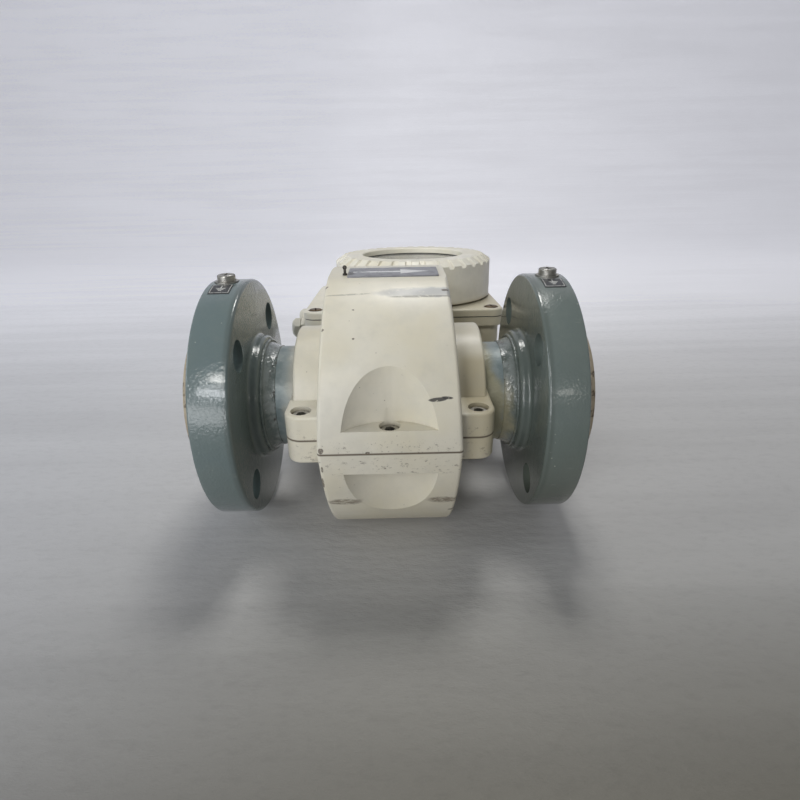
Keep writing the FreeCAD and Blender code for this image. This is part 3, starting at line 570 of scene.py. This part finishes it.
@dataclass(frozen=True)
class CircuitBoard:
    """Green board with traces."""

    name: str = "green_board"

    def make(self) -> bpy.types.Material:
        """Build the material."""
        s = Shader(self.name)
        wave = s.node("ShaderNodeTexWave", {"wave_type": "BANDS", "bands_direction": "DIAGONAL"},
                      {"Vector": s.place, "Scale": 260.0, "Distortion": 6.0, "Detail": 1.0}).out(0)
        traces = wave.rise(0.62, 0.70) * s.noise(16.0, 1.0).rise(0.46, 0.50)
        pads = s.cells(4.5, 0.2).rise(0.16, 0.12)
        colour = s.mix(traces, (0.018, 0.105, 0.055), (0.045, 0.21, 0.11))
        colour = s.mix(pads, colour, (0.60, 0.58, 0.54))
        return s.finish(base_color=colour, roughness=0.32 + pads * 0.05, metallic=pads * 0.9,
                        normal=s.bump(traces + pads, 0.04))


@dataclass(frozen=True)
class Winding:
    """Enamelled copper wire in layers."""

    name: str = "copper_winding"
    pitch: float = 0.9

    def make(self) -> bpy.types.Material:
        """Build the material."""
        s = Shader(self.name)
        turns = (s.y * (2 * math.pi / self.pitch)).sine()
        colour = s.mix(turns.rise(-1.0, 0.2), (0.16, 0.055, 0.02), (0.62, 0.27, 0.10))
        return s.finish(base_color=colour, roughness=0.28 + s.noise(6.0) * 0.1, metallic=0.85,
                        normal=s.bump(turns, 0.2))


@dataclass(frozen=True)
class EarthLabel:
    """Black film printed with the plain earth symbol."""

    name: str
    side: float
    centre_x: float = 98.4
    rim_radius: float = 76.4
    centre_arc: float = -14.0

    def make(self) -> bpy.types.Material:
        """Build the material."""
        s = Shader(self.name)
        along = s.x - self.side * self.centre_x
        arc = s.y.angle(s.z) * self.rim_radius - self.centre_arc
        mark = along.near(0.0, 0.32, 0.12) * arc.near(1.9, 2.0, 0.15)
        for drop, half in ((0.0, 2.7), (-1.5, 1.8), (-3.0, 0.9)):
            mark = mark.most(arc.near(drop, 0.33, 0.12) * along.near(0.0, half, 0.12))
        border = abs(along).rise(5.1, 5.3).most(abs(arc).rise(5.3, 5.5))
        border = border * abs(along).rise(5.8, 5.6) * abs(arc).rise(6.0, 5.8)
        wear = s.noise(2.4, 4.0, 0.7).rise(0.66, 0.52)
        print_ink = mark.most(border * 0.7) * wear
        scuff = s.noise(3.4, 5.0, 0.75, shift=(2, 0, 5)).rise(0.60, 0.70)
        colour = s.mix(print_ink, (0.022, 0.024, 0.026), (0.66, 0.66, 0.62))
        colour = s.mix(scuff * 0.55, colour, (0.30, 0.31, 0.30))
        return s.finish(base_color=colour, roughness=0.30 + scuff * 0.35,
                        normal=s.bump(s.noise(5.0, 2.0), 0.08))


@dataclass(frozen=True)
class ArrowPlate:
    """Grey plate with a plain white arrow pointing along the flow."""

    name: str = "arrow_plate_print"
    shaft: tuple[float, float] = (-20.0, 8.0)
    head: tuple[float, float] = (8.0, 25.5)
    centre_y: float = -2.2
    shaft_half: float = 1.7
    head_half: float = 6.4
    stub: tuple[float, float] = (-25.3, -6.5)

    def make(self) -> bpy.types.Material:
        """Build the material."""
        s = Shader(self.name)
        across = abs(s.y - self.centre_y)
        middle, half = (self.shaft[0] + self.shaft[1]) / 2, (self.shaft[1] - self.shaft[0]) / 2 + 0.5
        shaft = s.x.near(middle, half, 0.1) * across.rise(self.shaft_half + 0.1, self.shaft_half)
        taper = (self.head[1] - s.x) * (self.head_half / (self.head[1] - self.head[0]))
        head = (taper - across).rise(0.0, 0.12) * s.x.rise(self.head[0], self.head[0] + 0.1)
        worn = s.noise(4.0, 5.0, 0.75, stretch=(0.5, 1, 1)).rise(0.40, 0.50).most(head * 0.85)
        arrow = shaft.most(head) * worn
        grime_and_shade = s.noise(8.0, 5.0, 0.7).rise(0.45, 0.75)
        colour = s.mix(grime_and_shade * 0.5, (0.235, 0.240, 0.262), (0.155, 0.150, 0.150))
        colour = s.mix(arrow, colour, (0.72, 0.72, 0.72))
        scratch = s.noise(1.2, 3.0, 0.7, stretch=(0.12, 1, 1)).rise(0.66, 0.72)
        colour = s.mix(scratch * 0.4, colour, (0.50, 0.50, 0.50))
        soot = ((s.x - self.stub[0]) ** 2.0 + (s.y - self.stub[1]) ** 2.0).rise(52.0, 12.0)
        colour = s.mix(soot * 0.8, colour, (0.05, 0.045, 0.04))
        return s.finish(base_color=colour, roughness=0.36 + grime_and_shade * 0.2, metallic=(1.0 - arrow) * 0.35,
                        normal=s.bump(arrow * 0.5 + s.noise(6.0, 2.0), 0.05))


@dataclass(frozen=True)
class WindowGlass:
    """Clear glass with a thin film of dust, pale and heavy enough that it also stands in for a painted
    reflection of the room.
    """

    name: str = "window_glass"

    def make(self) -> bpy.types.Material:
        """Build the material."""
        s = Shader(self.name)
        # Dust film, pale and heavy enough that it also stands in for a painted reflection of the bright room.
        dust = s.noise(18.0, 5.0, 0.7).rise(0.3, 0.8) * 0.26 + 0.14
        film = s.node("ShaderNodeBsdfPrincipled", {}, {"Base Color": (0.72, 0.71, 0.66), "Roughness": 0.7})
        clear = s.node("ShaderNodeBsdfTransparent", {}, {"Color": (0.93, 0.95, 0.93)})
        gloss = s.node("ShaderNodeBsdfGlossy", {}, {"Color": (1.0, 1.0, 1.0), "Roughness": 0.03})
        fresnel = s.node("ShaderNodeFresnel", {}, {"IOR": 1.5}).out(0)
        pane = s.node("ShaderNodeMixShader", {}, {0: fresnel, 1: clear.out(0), 2: gloss.out(0)})
        whole = s.node("ShaderNodeMixShader", {}, {0: dust, 1: pane.out(0), 2: film.out(0)})
        s.node("ShaderNodeOutputMaterial", {}, {"Surface": whole.out(0)})
        return s.material


@dataclass(frozen=True)
class Floor:
    """Pale foam sheet, whitened for the camera so that it stays a background, with painted shade towards the
    camera and painted window light on the left.
    """

    name: str = "foam_floor"

    def make(self) -> bpy.types.Material:
        """Build the material."""
        s = Shader(self.name)
        weave = s.noise(4.0, 4.0, 0.7, stretch=(0.45, 1.0, 1.0))
        waves = s.noise(120.0, 3.0, 0.5, stretch=(0.35, 1.0, 1.0))
        ribs = s.noise(26.0, 2.0, 0.5, stretch=(0.06, 1.0, 1.0))
        # Painted shade: the floor is painted darker and warmer towards the camera, deepest where the object's
        # shadow falls in front of it.
        colour = s.mix(s.y.rise(-270.0, 30.0), (0.150, 0.138, 0.104), (0.60, 0.595, 0.59))
        # Out of view nearer the camera, the painted shade fades back to plain grey.
        colour = s.mix(s.y.rise(-330.0, -800.0), colour, (0.50, 0.495, 0.49))
        colour = s.mix(s.y.rise(0.0, 700.0), colour, (0.90, 0.90, 0.94))
        # Painted light: the left side is painted paler and cooler, for window light from that side.
        colour = s.mix(s.x.rise(40.0, -330.0) * 0.4, colour, (0.66, 0.67, 0.72))
        colour = s.mix(waves.rise(0.35, 0.70) * 0.12, colour, (0.60, 0.60, 0.60), "MULTIPLY")
        colour = s.mix(weave.rise(0.45, 0.75) * 0.15, colour, (0.50, 0.50, 0.50), "MULTIPLY")
        colour = s.mix(ribs.rise(0.38, 0.62) * 0.14, colour, (0.60, 0.60, 0.60), "MULTIPLY")
        path = s.node("ShaderNodeLightPath")
        seen = path.out("Is Camera Ray").most(path.out("Is Glossy Ray"))
        glow = s.mix(seen * s.y.rise(20.0, 900.0), (0.0, 0.0, 0.0), (0.22, 0.22, 0.24))
        return s.finish(base_color=colour, roughness=0.55, emission_color=glow, emission_strength=1.0,
                        normal=s.bump(weave * 0.4 + waves * 2.0 + ribs, 0.9))


class Palette:
    """All finishes, each made once when it is first asked for."""

    def __init__(self) -> None:
        """Start with nothing made."""
        self.recipes: dict[str, Callable[[], bpy.types.Material]] = {
            "drum": CreamEnamel("cream_enamel_drum", flaws=DRUM_FLAWS, split_line=True, gloss=0.36).make,
            # Painted light: the head uses a paler copy of the drum's cream, standing in for more light on the
            # head.
            "head": CreamEnamel("cream_enamel_head_painted_lighter", base=(0.780, 0.750, 0.660)).make,
            "flange": FlangeEnamel().make,
            "tube": TubePaint().make,
            "lining": Lining().make,
            "zinc": PlainMetal("dull_zinc", (0.40, 0.39, 0.36), (0.09, 0.075, 0.055), 0.7, 0.36).make,
            "rusty": PlainMetal("rusty_steel", (0.17, 0.13, 0.09), (0.060, 0.040, 0.025), 0.85, 0.50).make,
            "stainless": PlainMetal("bright_stainless", (0.60, 0.60, 0.59), (0.30, 0.28, 0.25),
                                    0.25, 0.24).make,
            "iron": PlainMetal("dark_iron", (0.16, 0.16, 0.165), (0.10, 0.06, 0.04), 0.4, 0.45).make,
            "copper": Winding().make,
            "bobbin": Moulding("natural_nylon", (0.66, 0.62, 0.50)).make,
            "rubber": Moulding("black_rubber", (0.020, 0.020, 0.020), 0.65).make,
            "sheet": Moulding("brown_joint_sheet", (0.125, 0.100, 0.072), 0.7).make,
            "burnt": Moulding("burnt_wire", (0.020, 0.017, 0.015), 0.7, 0.6, 0.1).make,
            "black": Moulding("black_plastic", (0.025, 0.025, 0.026), 0.42).make,
            "gland": Moulding("off_white_gland_paint", (0.70, 0.675, 0.590), 0.45, 1.2, 0.03, 0.30).make,
            "face": Moulding("pale_face_plate", (0.66, 0.65, 0.60), 0.45, 0.6, 0.02, 0.15).make,
            "lcd": Moulding("display_film", (0.22, 0.26, 0.20), 0.18, 0.35, 0.01, 0.05).make,
            "key": Moulding("grey_keys", (0.20, 0.20, 0.21), 0.5).make,
            "terminal": Moulding("grey_terminal", (0.28, 0.29, 0.30), 0.5).make,
            "board": CircuitBoard().make,
            "glass": WindowGlass().make,
            "plate": ArrowPlate().make,
            "inlet_label": EarthLabel("inlet_label_film", -1.0).make,
            "outlet_label": EarthLabel("outlet_label_film", 1.0).make,
            "floor": Floor().make,
        }
        self.made: dict[str, bpy.types.Material] = {}

    def __getitem__(self, name: str) -> bpy.types.Material:
        """The finish of that name."""
        if name not in self.made:
            self.made[name] = self.recipes[name]()
        return self.made[name]


# --------------------------------------------------------------------------- geometry nodes
class Tree:
    """A Geometry Nodes group that is written in code."""

    def __init__(self, name: str) -> None:
        """Start a group with a geometry input and output."""
        self.group = bpy.data.node_groups.new(name, "GeometryNodeTree")
        self.ids: dict[str, str] = {}
        self.take("Geometry", "NodeSocketGeometry")
        self.group.interface.new_socket("Geometry", in_out="OUTPUT", socket_type="NodeSocketGeometry")
        self.start = self.group.nodes.new("NodeGroupInput")
        self.end = self.group.nodes.new("NodeGroupOutput")

    def take(self, name: str, kind: str, default: Any = None) -> None:
        """Add a named input to the group."""
        socket = self.group.interface.new_socket(name, in_out="INPUT", socket_type=kind)
        if default is not None:
            socket.default_value = default
        self.ids[name] = socket.identifier

    def node(self, kind: str, settings: dict[str, Any] | None = None,
             values: dict[str | int, Any] | None = None) -> bpy.types.Node:
        """Add a node, set it up and feed its inputs from numbers or output sockets."""
        made = self.group.nodes.new(kind)
        for name, setting in (settings or {}).items():
            setattr(made, name, setting)
        for name, value in (values or {}).items():
            if isinstance(value, bpy.types.NodeSocket):
                self.group.links.new(value, made.inputs[name])
            else:
                made.inputs[name].default_value = value
        return made

    def math(self, operation: str, *terms: Any) -> bpy.types.NodeSocket:
        """Result of one Math node."""
        return self.node("ShaderNodeMath", {"operation": operation}, dict(enumerate(terms))).outputs[0]

    def given(self, name: str) -> bpy.types.NodeSocket:
        """Output socket of a group input."""
        return self.start.outputs[name]

    def close(self, geometry: bpy.types.NodeSocket) -> None:
        """Send the result out."""
        self.group.links.new(geometry, self.end.inputs[0])

    def on(self, host: bpy.types.Object, **inputs: Any) -> None:
        """Put the group on an object with its inputs set."""
        modifier = host.modifiers.new(self.group.name, "NODES")
        modifier.node_group = self.group
        for name, value in inputs.items():
            modifier[self.ids[name]] = value


def smoothing_tree() -> Tree:
    """Tree that welds a faceted shape and shades it smooth except over sharp edges."""
    tree = Tree("soft_shading")
    tree.take("Angle", "NodeSocketFloat", math.radians(32))
    welded = tree.node("GeometryNodeMergeByDistance", {},
                       {"Geometry": tree.given("Geometry"), "Distance": WELD_GAP})
    angle = tree.node("GeometryNodeInputMeshEdgeAngle").outputs["Unsigned Angle"]
    flat = tree.node("FunctionNodeCompare", {"operation": "LESS_THAN"}, {0: angle, 1: tree.given("Angle")})
    faces = tree.node("GeometryNodeSetShadeSmooth", {"domain": "FACE"}, {0: welded.outputs[0]})
    edges = tree.node("GeometryNodeSetShadeSmooth", {"domain": "EDGE"},
                      {0: faces.outputs[0], 1: flat.outputs[0], "Shade Smooth": True})
    sharp = tree.node("FunctionNodeBooleanMath", {"operation": "NOT"}, {0: flat.outputs[0]})
    hard = tree.node("GeometryNodeSetShadeSmooth", {"domain": "EDGE"},
                     {0: edges.outputs[0], 1: sharp.outputs[0], "Shade Smooth": False})
    tree.close(hard.outputs[0])
    return tree


def bead_tree() -> Tree:
    """Tree for a weld bead: a ring about X whose thickness ripples along the seam."""
    tree = Tree("weld_bead")
    tree.take("Along", "NodeSocketFloat", 0.079)
    tree.take("Radius", "NodeSocketFloat", 0.036)
    tree.take("Section", "NodeSocketFloat", 0.0014)
    tree.take("Ripples", "NodeSocketInt", 90)
    tree.take("Finish", "NodeSocketMaterial")
    steps, sides, ripple = 720, 14, 0.05
    ring = tree.node("GeometryNodeCurvePrimitiveCircle", {},
                     {"Resolution": steps, "Radius": tree.given("Radius")})
    turn = tree.math("MULTIPLY", tree.node("GeometryNodeInputIndex").outputs[0], tree.given("Ripples"))
    wave = tree.math("SINE", tree.math("MULTIPLY", turn, 2 * math.pi / steps))
    drift = tree.node("ShaderNodeTexNoise", {}, {"Scale": 90.0, "Detail": 2.0})
    swell = tree.math("ADD", tree.math("MULTIPLY_ADD", wave, ripple, 0.5), drift.outputs[0])
    thick = tree.math("MULTIPLY", swell, tree.given("Section"))
    profile = tree.node("GeometryNodeCurvePrimitiveCircle", {}, {"Resolution": sides, "Radius": 1.0})
    bead = tree.node("GeometryNodeCurveToMesh", {}, {
        "Curve": ring.outputs[0], "Profile Curve": profile.outputs[0], "Scale": thick})
    move = tree.node("ShaderNodeCombineXYZ", {}, {0: tree.given("Along")})
    placed = tree.node("GeometryNodeTransform", {}, {
        "Geometry": bead.outputs[0], "Translation": move.outputs[0], "Rotation": (0.0, math.pi / 2, 0.0)})
    smooth = tree.node("GeometryNodeSetShadeSmooth", {}, {"Geometry": placed.outputs[0]})
    whole = tree.node("GeometryNodeRealizeInstances", {}, {0: smooth.outputs[0]})
    painted = tree.node("GeometryNodeSetMaterial", {},
                        {"Geometry": whole.outputs[0], "Material": tree.given("Finish")})
    tree.close(painted.outputs[0])
    return tree


# --------------------------------------------------------------------------- assemblies
@dataclass
class Workshop:
    """What every sub-assembly needs: the finishes and the shared trees."""

    palette: Palette = field(default_factory=Palette)
    smoothing: Tree = field(default_factory=smoothing_tree)
    beads: Tree = field(default_factory=bead_tree)
    pieces: list[str] = field(default_factory=list)

    def grow(self, name: str, tree: Tree, body: str, finish: str, **inputs: Any) -> None:
        """Run a tree once and keep its result as a plain mesh that rides a body.

        Args:
            name: the new piece's name.
            tree: the tree to run; it has an input called Finish.
            body: the body that carries the piece.
            finish: the finish that the tree sets.
            inputs: values for the tree's other inputs.
        """
        host = bpy.data.objects.new(f"{name}_host", bpy.data.meshes.new(f"{name}_host"))
        bpy.context.scene.collection.objects.link(host)
        tree.on(host, Finish=self.palette[finish], **inputs)
        ready = host.evaluated_get(bpy.context.evaluated_depsgraph_get())
        piece = bpy.data.objects.new(name, bpy.data.meshes.new_from_object(ready))
        bpy.data.objects.remove(host)
        bpy.context.scene.collection.objects.link(piece)
        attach(piece, body)
        self.pieces.append(name)

    def dress(self, node: str, finish: str) -> None:
        """Give a node its finish and soft shading."""
        piece = NODES[node]
        piece.data.materials.clear()
        piece.data.materials.append(self.palette[finish])
        self.smoothing.on(piece)
        self.pieces.append(node)
        LOG.info("dressed %s with %s", node, finish)


@dataclass
class PipeRun:
    """Measuring tube, lining, flanges and their earthing fittings."""

    shop: Workshop
    bead_x: float = 78.2 * MM
    bead_radius: float = 36.3 * MM

    def build(self) -> None:
        """Dress the run."""
        self.shop.dress("measuring_tube", "tube")
        self.shop.dress("liner", "lining")
        for end, side in (("inlet", -1.0), ("outlet", 1.0)):
            self.shop.dress(f"{end}_liner_flare", "lining")
            self.shop.grow(f"{end}_weld_bead", self.shop.beads, "meter", "flange", Along=side * self.bead_x,
                           Radius=self.bead_radius, Section=1.1 * MM)
            self.shop.dress(f"{end}_flange", "flange")
            self.shop.dress(f"{end}_earth_screw", "zinc")
            self.shop.dress(f"{end}_earth_washers", "zinc")
            self.shop.dress(f"{end}_earth_label", f"{end}_label")


@dataclass
class CoilDrum:
    """Clamshell drum, what it clamps and what is inside it."""

    shop: Workshop

    def build(self) -> None:
        """Dress the drum."""
        finishes = {"upper_shell": "drum", "lower_shell": "drum", "split_sheet": "sheet",
                    "shell_bolts": "zinc", "tube_seals": "rubber", "arrow_plate": "plate",
                    "tag_stub": "burnt", "pole_shoes": "iron", "coil_cores": "iron",
                    "coil_bobbins": "bobbin", "field_coils": "copper", "return_yoke": "iron",
                    "electrodes": "stainless", "electrode_sleeves": "bobbin",
                    "electrode_nuts": "stainless", "neck_flange": "stainless", "neck_gasket": "rubber",
                    "neck_screws": "zinc"}
        for node, finish in finishes.items():
            self.shop.dress(node, finish)


@dataclass
class ConverterHead:
    """Converter housing with its covers, display, boards, terminals and glands."""

    shop: Workshop

    def build(self) -> None:
        """Dress the head."""
        finishes = {"converter_housing": "head", "front_plate": "head", "front_cover": "head",
                    "rear_cover": "head", "plate_gasket": "rubber", "plate_screws": "rusty",
                    "window_glass": "glass", "glass_gasket": "rubber", "glass_retainer": "black",
                    "front_seal": "rubber", "rear_seal": "rubber", "board_pillars": "stainless",
                    "power_board": "board", "main_board": "board", "display_board": "board",
                    "display_bezel": "face", "display_module": "lcd", "display_keys": "key",
                    "transformer": "iron", "capacitors": "black", "terminal_block": "terminal",
                    "terminal_screws": "zinc"}
        for end in ("front", "rear"):
            finishes |= {f"{end}_gland_body": "gland", f"{end}_gland_nut": "gland",
                         f"{end}_gland_insert": "rubber"}
        for node, finish in finishes.items():
            self.shop.dress(node, finish)


# --------------------------------------------------------------------------- studio
@dataclass(frozen=True)
class Lamp:
    """One rectangular lamp; places in metres, power in watts, spread in degrees."""

    name: str
    place: Triple
    size: tuple[float, float]
    power: float
    tint: Colour
    aim: Triple = (0.0, 0.0, 0.0)
    spread: float = 180.0


LAMPS = (
    Lamp("overhead", (0.13, 0.63, 1.42), (0.42, 0.34), 8.2, (1.0, 0.99, 0.96), (0.0, 0.03, 0.0)),
    Lamp("side_window", (-1.5, -0.35, 0.7), (0.6, 0.7), 6.2, (0.90, 0.95, 1.0)),
    Lamp("front_fill", (-1.15, -1.95, 0.22), (1.7, 0.6), 13.0, (0.97, 0.98, 1.0)),
    Lamp("front_window", (-0.55, -1.36, 0.66), (0.5, 0.16), 3.6, (0.95, 0.97, 1.0)),
    Lamp("right_glint", (0.5, -1.36, 0.50), (0.24, 0.12), 0.6, (1.0, 0.98, 0.92), (0.1, 0.0, 0.0)),
    Lamp("head_light", (-0.35, -0.95, 0.85), (0.3, 0.3), 0.105, (1.0, 0.99, 0.95), (0.02, 0.20, 0.05), 20.0),
)
ROOM_TINT, ROOM_STRENGTH = (0.86, 0.88, 0.92, 1.0), 0.24
WALL_TINT = (0.66, 0.67, 0.70, 1.0)


@dataclass
class Studio:
    """Floor, lamps and camera."""

    shop: Workshop
    floor_z: float = CAD_BOX[0].z
    floor_gap: float = 0.2 * MM
    eye: Triple = (3.57 * MM, -335.98 * MM, 145.68 * MM)
    pitch: float = 24.28
    yaw: float = 0.48
    roll: float = -1.05
    focal: float = 544.6
    image_width: float = 800.0
    sensor: float = 36.0

    def build(self) -> None:
        """Make everything that isn't the object."""
        self._floor()
        self._lamps()
        self._camera()

    def _floor(self) -> None:
        """Sheet under the object that sweeps up behind it."""
        level, half_width, near_edge = self.floor_z - self.floor_gap, 4.0, -3.0
        bend, radius, wall_top, steps = 1.1, 0.7, 3.0, 16
        turns = [math.radians(90 * step / steps) for step in range(steps + 1)]
        run = [(near_edge, level)]
        run += [(bend + radius * math.sin(turn), level + radius * (1 - math.cos(turn))) for turn in turns]
        run.append((bend + radius, wall_top))
        mesh = bpy.data.meshes.new("floor")
        mesh.from_pydata([(side * half_width, y, z) for y, z in run for side in (-1, 1)], [],
                         [(2 * row, 2 * row + 1, 2 * row + 3, 2 * row + 2) for row in range(len(run) - 1)])
        mesh.shade_smooth()
        mesh.materials.append(self.shop.palette["floor"])
        floor = bpy.data.objects.new("floor", mesh)
        bpy.context.scene.collection.objects.link(floor)

    @staticmethod
    def _hang(lamp: Lamp) -> None:
        """Add one soft rectangular lamp."""
        light = bpy.data.lights.new(lamp.name, "AREA")
        light.shape = "RECTANGLE"
        light.size, light.size_y = lamp.size
        light.energy = lamp.power
        light.color = lamp.tint
        light.spread = math.radians(lamp.spread)
        piece = bpy.data.objects.new(lamp.name, light)
        piece.location = lamp.place
        piece.rotation_mode = "QUATERNION"
        piece.rotation_quaternion = (Vector(lamp.aim) - Vector(lamp.place)).to_track_quat("-Z", "Y")
        bpy.context.scene.collection.objects.link(piece)

    def _lamps(self) -> None:
        """Lamps and the world, which the camera sees as a pale wall."""
        for lamp in LAMPS:
            self._hang(lamp)
        world = bpy.data.worlds.new("room")
        world.use_nodes = True
        tree = world.node_tree
        room = tree.nodes["Background"]
        room.inputs[0].default_value = ROOM_TINT
        room.inputs[1].default_value = ROOM_STRENGTH
        pale = tree.nodes.new("ShaderNodeBackground")
        pale.inputs[0].default_value = WALL_TINT
        seen = tree.nodes.new("ShaderNodeLightPath").outputs["Is Camera Ray"]
        pick = tree.nodes.new("ShaderNodeMixShader")
        for source, socket in ((seen, 0), (room.outputs[0], 1), (pale.outputs[0], 2)):
            tree.links.new(source, pick.inputs[socket])
        tree.links.new(pick.outputs[0], tree.nodes["World Output"].inputs[0])
        bpy.context.scene.world = world
        bpy.context.scene.view_settings.view_transform = "Standard"

    def _camera(self) -> None:
        """Camera at the measured place."""
        pitch, yaw, roll = (math.radians(angle) for angle in (self.pitch, self.yaw, self.roll))
        ahead = Vector((math.sin(yaw) * math.cos(pitch), math.cos(yaw) * math.cos(pitch), -math.sin(pitch)))
        right = Vector((math.cos(yaw), -math.sin(yaw), 0.0))
        up = right.cross(ahead)
        side = right * math.cos(roll) + up * math.sin(roll)
        top = up * math.cos(roll) - right * math.sin(roll)
        data = bpy.data.cameras.new("camera")
        data.sensor_width = self.sensor
        data.lens = self.focal / self.image_width * self.sensor
        data.clip_start, data.clip_end = 0.01, 50.0
        camera = bpy.data.objects.new("camera", data)
        camera.matrix_world = Matrix((
            (side.x, top.x, -ahead.x, self.eye[0]), (side.y, top.y, -ahead.y, self.eye[1]),
            (side.z, top.z, -ahead.z, self.eye[2]), (0.0, 0.0, 0.0, 1.0)))
        bpy.context.scene.collection.objects.link(camera)
        bpy.context.scene.camera = camera


def main() -> None:
    """Build the sub-assemblies in order and report each piece."""
    logging.basicConfig(level=logging.INFO, format="%(name)s: %(message)s")
    shop = Workshop()
    for assembly in (PipeRun(shop), CoilDrum(shop), ConverterHead(shop), Studio(shop)):
        assembly.build()
        LOG.info("built %s", type(assembly).__name__)
    LOG.info("%d pieces", len(shop.pieces))


if __name__ == "__main__":
    main()
